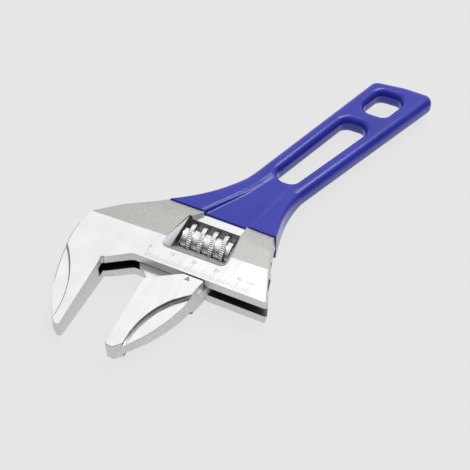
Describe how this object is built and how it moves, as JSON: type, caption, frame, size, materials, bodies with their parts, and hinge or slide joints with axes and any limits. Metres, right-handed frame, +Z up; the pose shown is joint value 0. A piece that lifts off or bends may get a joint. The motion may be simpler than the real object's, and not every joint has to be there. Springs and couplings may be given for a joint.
{
  "type": "adjustable wrench",
  "caption": "Slim-jaw adjustable wrench: forged head with angled lips, sliding jaw driven by a thumb worm, and a dipped openwork handle with a hanging hole.",
  "frame": {"origin": "on the underside, where the fixed jaw's gripping plane meets the lip line that the movable jaw slides along", "axes": "+X the way the movable jaw opens, +Y from the jaw tips towards the handle's end, +Z up out of the upper face, with the wrench lying flat"},
  "size_m": [0.11, 0.1841, 0.0144],
  "materials": {
    "forged_steel": "bright ground faces, blasted satin shoulders",
    "jaw_steel": "bright ground faces, satin sides",
    "worm_steel": "bright, with finely knurled crests",
    "pin_steel": "turned",
    "spring_steel": "drawn wire",
    "grip_vinyl": "dipped, glossy"
  },
  "bodies": {
    "body": {"body": "forged_steel", "worm_pin": "pin_steel", "worm_spring": "spring_steel", "handle_grip": "grip_vinyl"},
    "jaw": {"movable_jaw": "jaw_steel"},
    "worm": {"worm": "worm_steel"}
  },
  "joints": [
    {"name": "jaw_slide", "type": "slide", "parent": "body", "child": "jaw", "axis": [1, 0, 0], "range_m": [-0.0206, 0.0253]},
    {"name": "worm_turn", "type": "hinge", "parent": "body", "child": "worm", "pos_m": [0.0348, 0.0208, 0.0072], "axis": [1, 0, 0], "range_deg": [-1825, 1487]}
  ],
  "couplings": [
    {"joint": "worm_turn", "follows": "jaw_slide", "rad_per_m": -1256.6}
  ]
}
